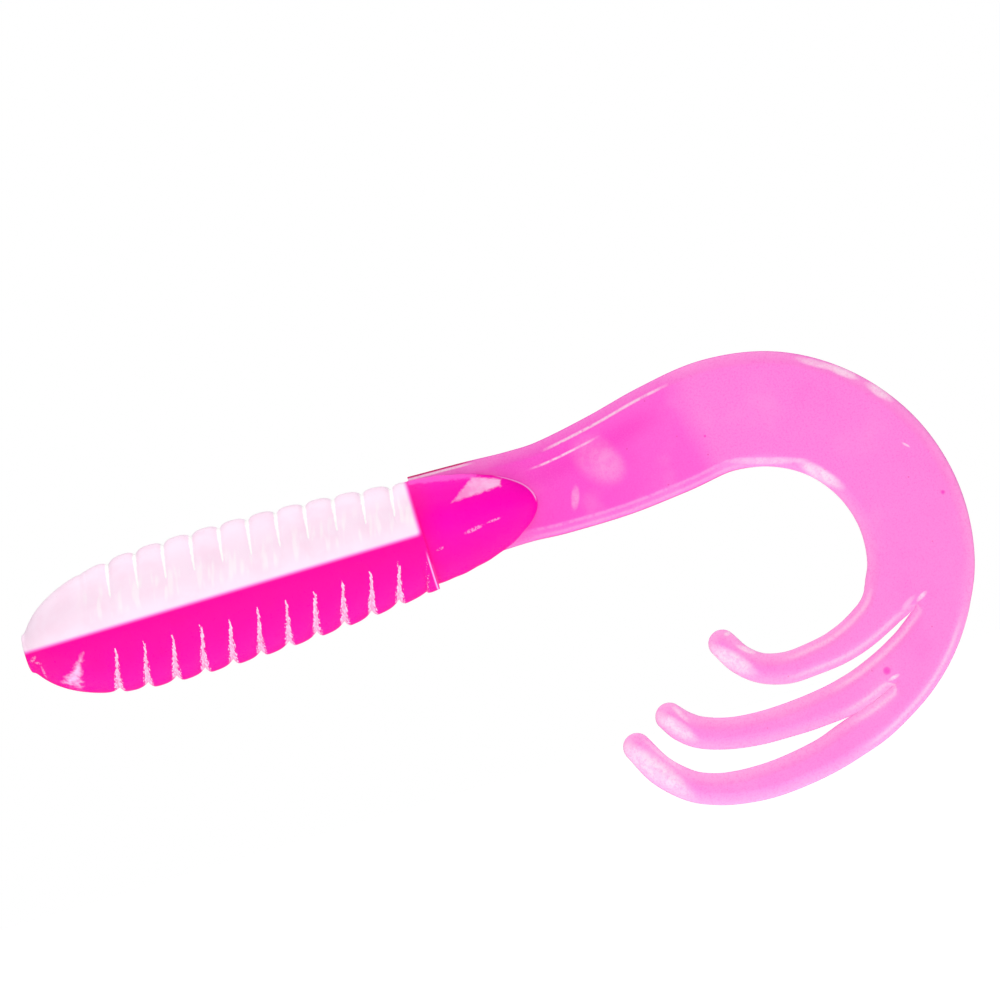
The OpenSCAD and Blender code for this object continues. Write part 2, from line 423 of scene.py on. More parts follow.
# Centrelines as in the CAD model: x, z and width, round the curl measured from its centre
CURL = np.array([BODY_L + 33.5, -13.5])
CURL_R = 16.7
CURL_STEP = 21.0
NECK = [[0, 1.2, 10.4], [6, 1.1, 10.2], [11, 1, 9.9], [15, 0.95, 10.3],
        [21.3, 1.5, 11.4], [27.4, 2.45, 12.2]]
CURL_WIDTHS = [12.2, 12.2, 11.9, 11.7, 11.5, 11.4, 11.4]
INNER = [[13.3, -4.9, 6.4], [12.5, -6.1, 6.2], [8.5, -9.1, 4.4], [5.3, -10.4, 3.8],
         [2.1, -10.9, 3.5], [-0.7, -11, 3.4], [-3.3, -10.25, 3.2], [-5.2, -8.7, 3.1],
         [-6.5, -6.6, 3]]
MIDDLE = [[10.7, -12.8, 3.4], [9.3, -13.8, 3.7], [6.8, -15, 3.9], [4, -15.7, 3.8],
          [0.8, -16.2, 3.8], [-2.5, -16.35, 3.6], [-5.5, -16.3, 3.5], [-8.5, -15.9, 3.4],
          [-11.3, -15, 3.4], [-13, -13.8, 3.3], [-14.1, -12.4, 3]]
OUTER = [[13.2, -15.4, 3.4], [11.4, -16.9, 3.6], [7.3, -19.1, 4], [3.5, -20.4, 4],
         [0.3, -21.2, 4], [-2.9, -21.7, 3.9], [-5.9, -21.9, 3.8], [-9, -21.7, 3.6],
         [-11.6, -21.15, 3.4], [-14.1, -20, 3.3], [-16.6, -17.6, 3.2],
         [-18.3, -14.5, 3]]

FIRST_HINGE = 3
LAST_HINGE = 11
# The knot where the blade's last piece ends and the fork starts
BLADE_END = LAST_HINGE + 0.5
RINGS_A_KNOT = 20
TENTACLE_RINGS_A_KNOT = 12
TIP_RINGS = 14
# Half the tail's thickness, and half of it at the root: from where it thins, over how far
HALF_T = 1.0
ROOT_HALF_T = 1.2
THIN_FROM = 9.0
THIN_OVER = 9.0
# An edge of the tail is a round rim, then a bevel, then nearly flat: how far the first two
# reach, and the share of the thickness that each of the three makes
RIM_REACH = 0.3
BEVEL_REACH = 1.2
SWELL_SHARES = (0.42, 0.54, 0.04)
EDGE_STEPS = np.array([0, 0.03, 0.1, 0.2, 0.32, 0.6, 0.95, 1.2, 1.32, 1.5])
SIDE_POINTS = len(EDGE_STEPS) + 2
# A strip with less than this half width has its edge steps squeezed together
FULL_HALF_WIDTH = 1.7
# Distances from an edge that are as good as none
FAR_OFF = 20.0
SHUT_OFF = 3.0
# How deep a slit is pressed into the fork before it parts, as a share of the thickness
CREASE = 0.3
# Where the two slits start, as shares of the blade's width from its inner edge
SLIT_SHARES = (0.548, 0.73)


def curl_knots():
    rows = []
    for i, width in enumerate(CURL_WIDTHS):
        a = math.radians(90 - CURL_STEP * i)
        rows.append([CURL[0] + CURL_R * math.cos(a), CURL[1] + CURL_R * math.sin(a), width])
    return rows


BLADE_PATH = np.array([[BODY_L + x, z, w] for x, z, w in NECK] + curl_knots())


def from_curl(rows):
    return np.array([[CURL[0] + x, CURL[1] + z, w] for x, z, w in rows])


def along(path, u):
    """The centreline's x, z and width at u knots, on a curve through its knots."""
    padded = np.vstack([2 * path[0] - path[1], path, 2 * path[-1] - path[-2]])
    i = int(min(max(math.floor(u), 0), len(path) - 2))
    a, b, c, d = padded[i : i + 4]
    t = u - i
    return 0.5 * (
        2 * b + (c - a) * t + (2 * a - 5 * b + 4 * c - d) * t**2
        + (3 * b - a - 3 * c + d) * t**3
    )


def heading(path, u):
    d = along(path, u + 0.01) - along(path, u - 0.01)
    return d[:2] / np.linalg.norm(d[:2])


def edges_at(path, u):
    """The inner and the outer edge at u, in the tail's plane."""
    x, z, width = along(path, u)
    hx, hz = heading(path, u)
    out = np.array([-hz, hx]) * width / 2
    return np.array([x, z]) - out, np.array([x, z]) + out


def swell(d):
    """Share of the full thickness at a distance from an edge: round, bevelled, flat."""
    rim = np.sqrt(1 - (1 - np.clip(d / RIM_REACH, 0, 1)) ** 2)
    bevel = np.clip((d - 0.1) / BEVEL_REACH, 0, 1)
    crown = np.clip((d - 1.0) / BEVEL_REACH, 0, 1)
    return SWELL_SHARES[0] * rim + SWELL_SHARES[1] * bevel + SWELL_SHARES[2] * crown


def spread(width, open_a, open_b):
    """Distances across a strip, close together at edges that are open."""
    def side(is_open):
        fine = EDGE_STEPS * min(1, width / 2 / FULL_HALF_WIDTH)
        fine = np.concatenate([fine, np.linspace(fine[-1], width / 2, 3)[1:]])
        even = np.linspace(0, width / 2, SIDE_POINTS)
        return even + (fine - even) * is_open
    return np.concatenate([side(open_a), (width - side(open_b)[::-1])[1:]])


def strip_ring(a, b, open_a, open_b, half_t, s, to_outer=FAR_OFF):
    """One ring of a strip from edge a to edge b: its front half and its values."""
    width = np.linalg.norm(b - a)
    at = spread(width, open_a, open_b)
    d_a, d_b = at, width - at
    thick = (1 - open_a * (1 - swell(d_a))) * (1 - open_b * (1 - swell(d_b)))
    place = a + (b - a) * (at / width)[:, None]
    shut_a, shut_b = (1 - min(1, is_open / CREASE) for is_open in (open_a, open_b))
    edge = np.minimum(d_a + SHUT_OFF * shut_a, d_b + SHUT_OFF * shut_b)
    return place, thick * half_t, edge, np.full(len(at), s), to_outer + d_b


class Strip:
    """Rings of a strip of the tail, that become a front and a back sheet."""

    def __init__(self):
        self.rings = []

    def ring(self, *args):
        self.rings.append(strip_ring(*args))

    def into(self, skin, piece, first=0, last=None):
        rings = self.rings[first:last]
        place = np.array([r[0] for r in rings])
        thick = np.array([r[1] for r in rings])
        values = {
            "edge": np.array([r[2] for r in rings]),
            "far": np.array([r[3] for r in rings]),
            "outer": np.array([r[4] for r in rings]),
        }
        for face in (-1, 1):
            points = np.stack([place[..., 0], face * thick, place[..., 1]], -1)
            skin.patch(piece, points, values, flip=face < 0)


def half_thickness(x):
    return HALF_T + (ROOT_HALF_T - HALF_T) * (1 - smooth((x - BODY_L - THIN_FROM) / THIN_OVER))


def blade_strips():
    """The blade as three strips side by side, which the slits part further on."""
    strips = [Strip(), Strip(), Strip()]
    us = np.linspace(0, BLADE_END, int(BLADE_END * RINGS_A_KNOT) + 1)
    far = 0.0
    before = along(BLADE_PATH, 0)[:2]
    for u in us:
        inner, outer = edges_at(BLADE_PATH, u)
        here = along(BLADE_PATH, u)[:2]
        far += np.linalg.norm(here - before)
        before = here
        first, second = (inner + (outer - inner) * k for k in SLIT_SHARES)
        t = half_thickness(here[0]) if u < FIRST_HINGE + 2 else HALF_T
        from_first, from_second = (np.linalg.norm(outer - p) for p in (first, second))
        strips[0].ring(inner, first, 1, 0, t, far, from_first)
        strips[1].ring(first, second, 0, 0, t, far, from_second)
        strips[2].ring(second, outer, 0, 1, t, far, 0.0)
    return strips, far


def curve(at, angles, values):
    """A smooth curve through values at falling angles."""
    rows = np.array([[v, 0, 0] for v in values], float)
    k = np.interp(-at, -np.array(angles, float), np.arange(len(angles)))
    return along(rows, k)[0]


def polar(angle, r):
    a = math.radians(angle)
    return CURL + r * np.array([math.cos(a), math.sin(a)])


def angle_of(p):
    d = p - CURL
    return math.degrees(math.atan2(d[1], d[0]))


FORK_START = 90 - CURL_STEP * (BLADE_END - len(NECK))
FORK_STEP = 0.9
SLIT_ANGLES = [FORK_START, -33, -40, -50, -60, -70, -85]
# The angle where the middle and the outer tentacle start to part, and over how many degrees
TOUCH_FROM = -73.0
TOUCH_OVER = 16.0
# Where each slit starts, where it parts and where its edges are free, in degrees. The strips
# beside the slits stop sharing points at about -31 and -60 degrees, and from there until the
# edges are free the front sheet and the back sheet are not joined
SLITS = [(-26.0, -33.0, -39.0), (-54.0, -72.0, -82.0)]
# Over how many degrees a slit is pressed in before it parts
PRESS_OVER = 7.0
# How wide the first slit stands open: from which angle, then two widths and the degrees
# over which each is reached
GAP_FROM = -35.0
GAP_WIDTHS = [(1.2, 45.0), (0.25, 8.0)]
# The angle where the inner tentacle starts to leave the fork's edge, over how many degrees
INNER_FROM = -36.0
INNER_OVER = 25.0
# Over how many degrees the fork's edges leave the blade's own edges
SETTLE_OVER = 6.0


def fork_edges(angle):
    """Radii at an angle of the inner edge, the two slits and the outer edge."""
    inner, outer = (np.linalg.norm(p - CURL) for p in edges_at(BLADE_PATH, BLADE_END))
    starts = [inner + (outer - inner) * k for k in SLIT_SHARES]
    return (
        curve(angle, [FORK_START, -31, -36, -42, -50, -58],
              [inner, 10.97, 10.88, 10.62, 10.27, 9.95]),
        curve(angle, SLIT_ANGLES, [starts[0], 16.5, 15.75, 14.9, 14.25, 13.8, 13.6]),
        curve(angle, SLIT_ANGLES, [starts[1], 19.15, 19.0, 18.8, 18.6, 18.4, 18.3]),
        curve(angle, [FORK_START, -40, -56, -85], [outer, 22.25, 22.3, 22.5]),
    )


def blade_end():
    """The same four edges where the blade's last piece ends."""
    inner, outer = edges_at(BLADE_PATH, BLADE_END)
    return [inner] + [inner + (outer - inner) * k for k in SLIT_SHARES] + [outer]


def knot_at_angle(path, angle, near):
    low, high = near - 1.5, near + 1.5
    for _ in range(40):
        middle = (low + high) / 2
        if angle_of(along(path, middle)[:2]) > angle:
            low = middle
        else:
            high = middle
    return middle


def slit_gap(angle):
    """How wide the first slit stands open at an angle."""
    return sum(width * float(smooth((GAP_FROM - angle) / over)) for width, over in GAP_WIDTHS)


def slit_opening(k, angle):
    """How open a slit is at an angle: pressed in first, then parted."""
    start, gap, free = SLITS[k]
    pressed = float(smooth((start - angle) / PRESS_OVER))
    parted = float(smooth((gap - angle) / (gap - free)))
    return CREASE * pressed + (1 - CREASE) * parted


def openings(k, a, b):
    """How open the two edges of a strip are, at a pair of edge points."""
    open_a = 1.0 if k == 0 else slit_opening(k - 1, angle_of(a))
    open_b = 1.0 if k == 2 else slit_opening(k, angle_of(b))
    return open_a, open_b


def fork_strip(k, path, hand_over, leaves, far):
    """One of the fork's strips, from the blade to where its tentacle takes over."""
    strip = Strip()
    end = angle_of(along(path, hand_over)[:2])
    steps = int((FORK_START - end) / FORK_STEP)
    angles = [FORK_START - FORK_STEP * i for i in range(steps)] + [end]
    offsets = [
        edge - polar(FORK_START, r) for edge, r in zip(blade_end(), fork_edges(FORK_START))
    ]
    for angle in angles:
        radii = list(fork_edges(angle))
        if k == 1:
            radii[1] += slit_gap(angle) / 2
        left = 1 - float(smooth((FORK_START - angle) / SETTLE_OVER))
        a, b = (polar(angle, radii[j]) + offsets[j] * left for j in (k, k + 1))
        weights = [float(smooth((free - angle) / (free - end))) for free in leaves]
        if max(weights) > 0:
            u = hand_over if angle == end else knot_at_angle(path, angle, hand_over)
            p, q = tentacle_edges(k, path, u)
            a, b = a + (p - a) * weights[0], b + (q - b) * weights[1]
        s = far + math.radians(FORK_START - angle) * CURL_R
        strip.ring(a, b, *openings(k, a, b), HALF_T, s)
    return strip, far + math.radians(FORK_START - end) * CURL_R


def tentacle_edges(k, path, u):
    """A tentacle's edges. The inner one leaves the fork's edge gradually, and the middle
    one and the outer one still touch where they start."""
    p, q = edges_at(path, u)
    if k == 0:
        leaving = 1 - float(smooth((INNER_FROM - angle_of(p)) / INNER_OVER))
        p = p + (polar(angle_of(p), fork_edges(angle_of(p))[0]) - p) * leaving
    if k > 0:
        touching = 1 - float(smooth((TOUCH_FROM - angle_of((p + q) / 2)) / TOUCH_OVER))
        if k == 1:
            q = q + (polar(angle_of(q), fork_edges(angle_of(q))[2]) - q) * touching
        else:
            p = p + (polar(angle_of(p), fork_edges(angle_of(p))[2]) - p) * touching
    return p, q


def tentacle_strip(k, path, start, tip, far):
    strip = Strip()
    count = int(round((tip - start) * TENTACLE_RINGS_A_KNOT))
    us = [start + (tip - start) * i / count for i in range(count + 1)]
    before = along(path, start)[:2]
    for u in us:
        a, b = tentacle_edges(k, path, u)
        here = (a + b) / 2
        far += np.linalg.norm(here - before)
        before = here
        strip.ring(a, b, *openings(k, a, b), HALF_T, far)
    a, b = edges_at(path, tip)
    centre, half = (a + b) / 2, (b - a) / 2
    r = np.linalg.norm(half)
    ahead = heading(path, tip)
    for i in range(1, TIP_RINGS + 1):
        turn = i / TIP_RINGS * math.pi / 2
        on, off = r * math.sin(turn), math.cos(turn)
        c = centre + ahead * on
        place = spread(2 * r, 1, 1) / r - 1
        points = c + half * (place * off)[:, None]
        d = r - np.hypot(place * off * r, on)
        thick = HALF_T * swell(np.maximum(d, 0))
        none = np.full(len(place), FAR_OFF)
        strip.rings.append((points, thick, d, np.full(len(place), far + on), none))
    return strip, us


# Each tentacle's centreline, the knots of its hinges and of its tip, and the knot where it
# takes over from the fork
FORKS = {
    "inner": (from_curl(INNER), [2, 4, 6], 8, 1.5),
    "middle": (from_curl(MIDDLE), [3, 5, 7], 10, 2.25),
    "outer": (from_curl(OUTER), [3, 5, 7, 9], 11, 2.4),
}
# For each strip: the angles from which its two edges turn into the tentacle's edges
LEAVES = [(FORK_START, -31), (-50, -60), (-60, -45)]


def tail_skin():
    skin = Skin("edge", "far", "outer")
    strips, far = blade_strips()
    cuts = [0] + [k - 0.5 for k in range(FIRST_HINGE, LAST_HINGE + 2)]
    names = ["tail_root"] + TAIL_CHAIN[1:-1] + ["fork_neck"]
    for name, start, end in zip(names, cuts, cuts[1:]):
        first, last = (int(round(c * RINGS_A_KNOT)) for c in (start, end))
        for strip in strips:
            strip.into(skin, f"{name}_skin", first, last + 1)
    for k, (name, (path, knots, tip, hand_over)) in enumerate(FORKS.items()):
        strip, reached = fork_strip(k, path, hand_over, LEAVES[k], far)
        strip.into(skin, "fork_skin")
        strip, us = tentacle_strip(k, path, hand_over, tip, reached)
        ends = [knot + 1 for knot in knots[:-1]] + [None]
        first = 0
        for i, end in enumerate(ends):
            last = len(strip.rings) if end is None else int(np.argmin(np.abs(np.array(us) - end)))
            strip.into(skin, f"{name}_tentacle_{i + 1}_skin", first, last + 1)
            first = last
    return skin.pieces()


# ---- Materials ----


class Shade:
    """A material whose nodes are made from the surface back to what drives it."""

    def __init__(self, name):
        self.material = bpy.data.materials.new(name)
        self.material.use_nodes = True
        self.tree = self.material.node_tree
        self.tree.nodes.clear()
        self.output = self.tree.nodes.new("ShaderNodeOutputMaterial")

    def node(self, kind, inputs=None, out=0, **settings):
        node = self.tree.nodes.new(kind)
        for key, value in settings.items():
            setattr(node, key, value)
        for key, value in (inputs or {}).items():
            if isinstance(value, bpy.types.NodeSocket):
                self.tree.links.new(value, node.inputs[key])
            else:
                node.inputs[key].default_value = value
        return node.outputs[out]

    def surface(self, shader):
        self.tree.links.new(shader, self.output.inputs["Surface"])
        return self.material

    def attribute(self, name, out="Fac"):
        return self.node("ShaderNodeAttribute", out=out, attribute_name=name)

    def math(self, operation, a, b=0.0):
        return self.node("ShaderNodeMath", {0: a, 1: b}, operation=operation)

    def ramp(self, value, low, high, to_low=0.0, to_high=1.0):
        """value from low to high, eased, as a number from to_low to to_high."""
        return self.node(
            "ShaderNodeMapRange",
            {"Value": value, 1: low, 2: high, 3: to_low, 4: to_high},
            interpolation_type="SMOOTHSTEP",
        )

    def band(self, value, centre, half):
        """1 at centre, easing to 0 at half on either side."""
        off = self.math("ABSOLUTE", self.math("SUBTRACT", value, centre))
        return self.ramp(off, 0.0, half, 1.0, 0.0)

    def noise(self, where, scale, detail=2.0, roughness=0.5):
        return self.node(
            "ShaderNodeTexNoise",
            {"Vector": where, "Scale": scale, "Detail": detail, "Roughness": roughness},
        )

    def mix(self, a, b, share):
        node = self.tree.nodes.new("ShaderNodeMix")
        node.data_type = "RGBA"
        for key, value in ((0, share), (6, a), (7, b)):
            if isinstance(value, bpy.types.NodeSocket):
                self.tree.links.new(value, node.inputs[key])
            else:
                node.inputs[key].default_value = value
        return node.outputs[2]

    def bump(self, height, distance_mm, strength=1.0):
        return self.node(
            "ShaderNodeBump",
            {"Height": height, "Distance": distance_mm * MM, "Strength": strength},
        )

    def colours(self, value, stops):
        """value from 0 to 1 through colours at places."""
        node = self.tree.nodes.new("ShaderNodeValToRGB")
        ramp = node.color_ramp
        ramp.interpolation = "EASE"
        while len(ramp.elements) < len(stops):
            ramp.elements.new(0.5)
        for element, (place, colour) in zip(ramp.elements, stops):
            element.position = place
            element.color = colour
        self.tree.links.new(value, node.inputs["Fac"])
        return node.outputs["Color"]


def colour(r, g, b):
    """A colour for a shader, from 8-bit screen values."""
    def linear(v):
        v /= 255
        return v / 12.92 if v <= 0.04045 else ((v + 0.055) / 1.055) ** 2.4
    return (linear(r), linear(g), linear(b), 1.0)


PINK = colour(255, 0, 156)
PINK_DEEP = colour(246, 0, 146)
PINK_BULLET = colour(255, 0, 182)
# Pale pink of the highlights painted on the nose and the bullet, and of small marks
PINK_MARK_AND_HIGHLIGHT = colour(253, 196, 235)
# Light pink of the highlights painted in the belly's grooves
PINK_GROOVE_HIGHLIGHT = colour(255, 212, 239)
PINK_SHINE = colour(255, 178, 242)
FILM = colour(253, 84, 205)
BLUR = colour(255, 120, 218)
PALE = colour(254, 229, 246)
PALE_DEEP = colour(252, 220, 239)
# Near white of the highlights painted in the back's grooves, also used for the faint strokes between them
PALE_STREAK = colour(255, 252, 252)


def outline(s, x, z, corners, ragged, ease):
    """1 inside a convex outline in the plane of x and z, easing to 0 at its edge."""
    inside = None
    for (x0, z0), (x1, z1) in zip(corners, corners[1:] + corners[:1]):
        length = math.hypot(x1 - x0, z1 - z0)
        nx, nz = (z0 - z1) / length, (x1 - x0) / length
        off = s.math("ADD", s.math("MULTIPLY", x, nx), s.math("MULTIPLY", z, nz))
        off = s.math("SUBTRACT", off, nx * x0 + nz * z0)
        inside = off if inside is None else s.math("MINIMUM", inside, off)
    return s.ramp(s.math("ADD", inside, ragged), 0.0, ease)


def blob(s, x, z, at, size, tilt):
    """1 in the middle of an ellipse in the plane of x and z, fading to its edge."""
    c, d = math.cos(math.radians(tilt)), math.sin(math.radians(tilt))
    dx, dz = s.math("SUBTRACT", x, at[0]), s.math("SUBTRACT", z, at[1])
    u = s.math("ADD", s.math("MULTIPLY", dx, c / size[0]), s.math("MULTIPLY", dz, d / size[0]))
    v = s.math("ADD", s.math("MULTIPLY", dx, -d / size[1]), s.math("MULTIPLY", dz, c / size[1]))
    r = s.math("ADD", s.math("MULTIPLY", u, u), s.math("MULTIPLY", v, v))
    return s.ramp(r, 1.5, 0.0)


# Painted highlights: a patch on the nose and one on the bullet
NOSE_HIGHLIGHT = [(6.6, -1.2), (2.5, -4.0), (5.0, -5.6)]
BULLET_HIGHLIGHT = [(BODY_L + 3.4, 2.3), (BODY_L + 9.4, 2.5), (BODY_L + 9.7, 3.4), (BODY_L + 6.7, 4.6)]
# Small pale marks on the nose and specks on the bullet
NOSE_MARKS = [((1.5, -2.35), (0.14, 0.75), 4), ((0.8, -0.7), (0.45, 0.22), 30),
              ((1.2, -1.25), (0.4, 0.15), -20)]
BULLET_SPECKS = [((BODY_L + 5.3, -0.9), (1.1, 0.22), 8), ((BODY_L + 7.6, -0.6), (0.8, 0.13), 5),
                 ((BODY_L + 1.35, -1.85), (0.45, 0.13), 7)]


def body_material(name):
    """Opaque soft plastic in two pours, whose line is blurred where they ran together."""
    s = Shade(name)
    rest = s.attribute("rest", "Vector")
    x, _, z = (
        s.node("ShaderNodeSeparateXYZ", {"Vector": rest}, out=k) for k in range(3)
    )
    line, shine, film = (s.attribute(a) for a in ("line", "shine", "film"))
    grain = s.noise(rest, 4.0, 3.0, 0.7)
    back = s.ramp(z, SPLIT_Z - 0.5, SPLIT_Z + 0.35)
    back = s.math("MULTIPLY", back, s.ramp(x, BODY_L - 0.7, BODY_L + 0.15, 1.0, 0.0))

    cloud = s.noise(rest, 0.3, 3.0, 0.55)
    pink = s.mix(PINK, PINK_DEEP, s.ramp(cloud, 0.5, 0.8, 0.0, 0.5))
    pink = s.mix(pink, PINK_BULLET, s.math("MULTIPLY", s.ramp(x, BODY_L - 1.0, BODY_L + 3.0),
                                           s.ramp(z, -4.5, 1.5)))
    pale = s.mix(PALE, PALE_DEEP, s.ramp(cloud, 0.4, 0.75, 0.0, 0.8))
    # Highlights painted along the grooves, made ragged by stretched noise
    strands = s.noise(s.node("ShaderNodeVectorMath", {0: rest, 1: (7.0, 2.2, 1.6)},
                             operation="MULTIPLY"), 1.0, 3.0, 0.6)
    torn = s.ramp(strands, 0.3, 0.7, -0.4, 0.4)
    groove_highlight = s.ramp(s.math("ADD", line, torn), 0.45, 0.6)
    groove_highlight = s.math("MULTIPLY", groove_highlight, s.ramp(line, 0.1, 0.3))
    pale_groove_highlight = s.ramp(s.math("ADD", line, s.math("MULTIPLY", torn, 0.4)), 0.35, 0.6)
    pink = s.mix(pink, PINK_GROOVE_HIGHLIGHT, s.math("MULTIPLY", groove_highlight, s.ramp(strands, 0.4, 0.65, 0.55, 1.0)))
    pale = s.mix(pale, PALE_STREAK, pale_groove_highlight)

    # Faint slanted strokes between the grooves of the back
    slanted = s.node("ShaderNodeVectorRotate", {"Vector": rest, "Angle": math.radians(-10)},
                     rotation_type="Y_AXIS")
    strokes = s.noise(s.node("ShaderNodeVectorMath", {0: slanted, 1: (1.5, 0.25, 0.3)},
                             operation="MULTIPLY"), 1.0, 1.0, 0.5)
    on_side = s.math("MULTIPLY", s.ramp(z, 0.8, 2.0), s.ramp(z, 3.4, 5.4, 1.0, 0.0))
    on_side = s.math("MULTIPLY", on_side, s.ramp(x, 6.5, 9.0))
    strokes = s.math("MULTIPLY", s.ramp(strokes, 0.5, 0.68), on_side)
    pale = s.mix(pale, PALE_STREAK, s.math("MULTIPLY", strokes, 0.4))

    ragged = s.ramp(s.noise(rest, 1.6, 2.0, 0.6), 0.3, 0.7, -0.08, 0.08)
    mottled = s.ramp(s.noise(rest, 1.2, 2.0, 0.5), 0.35, 0.65, 0.75, 1.0)
    # Highlights painted on the nose and on the bullet, mottled by noise, then small pale marks
    nose = outline(s, x, z, NOSE_HIGHLIGHT, s.math("MULTIPLY", ragged, 3.0), 1.0)
    bright = s.ramp(x, BODY_L + 3.5, BODY_L + 9.0, 0.6, 1.0)
    bullet = s.math("MULTIPLY", outline(s, x, z, BULLET_HIGHLIGHT, ragged, 0.35), bright)
    marks_and_highlights = [s.math("MULTIPLY", spot, mottled) for spot in (nose, bullet)]
    for at, size, tilt in NOSE_MARKS + BULLET_SPECKS:
        spot = blob(s, x, z, at, size, tilt)
        marks_and_highlights.append(s.math("MULTIPLY", spot, s.ramp(grain, 0.42, 0.56, 0.0, 0.55)))
    pink = s.mix(pink, FILM, s.math("MULTIPLY", s.ramp(s.math("ADD", film, ragged), -0.1, 0.25), 0.9))
    for spot in marks_and_highlights:
        pink = s.mix(pink, PINK_MARK_AND_HIGHLIGHT, s.math("MULTIPLY", spot, 0.9))
    # Highlights painted on the bullet where its shine is set
    pink = s.mix(pink, PINK_SHINE, s.ramp(shine, 0.2, 0.8, 0.0, 0.8))
    # A highlight painted round the collar's lower rear edge, that stays off its flat end
    lip = s.math("MULTIPLY", s.band(x, BODY_L - 0.17, 0.15), s.ramp(z, -1.5, -3.0, 0.0, 0.8))
    pink = s.mix(pink, PINK_SHINE, lip)
    base = s.mix(pink, BLUR, s.ramp(back, 0.0, 0.5))
    base = s.mix(base, pale, s.ramp(back, 0.3, 1.0))

    fine = s.noise(rest, 9.0, 4.0, 0.65)
    height = s.math("ADD", fine, s.math("MULTIPLY", line, 0.8))
    normal = s.bump(height, 0.04, 0.5)
    shader = s.node(
        "ShaderNodeBsdfPrincipled",
        {
            "Base Color": base,
            "Roughness": s.ramp(grain, 0.3, 0.7, 0.26, 0.42),
            "Normal": normal,
            "Specular IOR Level": 0.08,
            "Coat Weight": 0.1,
            "Coat Roughness": 0.06,
        },
    )
    return s.surface(shader)


TAIL_COLOURS = [
    (0.0, colour(250, 92, 216)),
    (0.12, colour(251, 96, 218)),
    (0.215, colour(252, 114, 222)),
    (0.24, colour(255, 146, 228)),
    (0.6, colour(255, 157, 229)),
    (1.0, colour(255, 166, 235)),
]
TAIL_LENGTH = 135.0
TAIL_PALE = colour(255, 240, 250)
TAIL_DEEP = colour(247, 66, 204)
TAIL_RIM = colour(226, 60, 160)
ROOT_RIM = colour(205, 0, 100)
# Pale scuffs and glints of the tail: place, size, tilt and strength, in the tail's plane
TAIL_SCUFFS = [
    ((BODY_L + 19.9, 2.4), (2.2, 3.2), 30, 0.2),
    ((BODY_L + 20.9, 1.5), (1.6, 2.0), 30, 0.15),
    ((BODY_L + 16.5, -0.8), (0.45, 1.3), -20, 0.4),
]
# Painted highlights in the same form, measured from the middle of the curl: on its outer edge,
# its inner edge, a short glint, the starts of the two slits, and the tips
CURL_HIGHLIGHTS = [
    ((11.6, 18.9), (2.4, 0.4), -31, 0.8),
    ((13.9, 17.3), (1.8, 0.45), -39, 1.0),
    ((17.0, 14.2), (1.7, 0.5), -50, 1.0),
    ((8.6, 7.6), (2.8, 0.7), -48, 1.0),
    ((3.6, 10.6), (4.2, 0.4), -16, 0.6),
    ((18.1, 8.0), (0.5, 0.13), -46, 0.8),
    ((15.1, -7.8), (0.75, 0.25), 30, 1.0),
    ((13.6, -8.0), (1.0, 0.3), 30, 0.4),
    ((9.8, -15.2), (0.65, 0.22), 14, 1.0),
    ((-6.1, -8.5), (2.9, 0.95), -46, 1.0),
    ((-4.3, -7.9), (1.1, 0.28), -40, 1.0),
    ((-5.7, -5.7), (0.4, 0.25), 0, 0.8),
    ((-13.8, -13.6), (2.7, 0.8), -50, 1.0),
    ((-12.9, -12.4), (1.3, 0.3), -60, 0.7),
    ((-17.1, -17.3), (5.0, 1.15), -54, 1.0),
    ((-15.8, -16.2), (2.6, 0.3), -55, 0.5),
]
# Dark specks in the tail: place from the middle of the curl, and size
CURL_SPECKS = [((20.4, 2.1), 0.25), ((9.3, -14.3), 0.45), ((-2.0, 15.0), 0.15)]


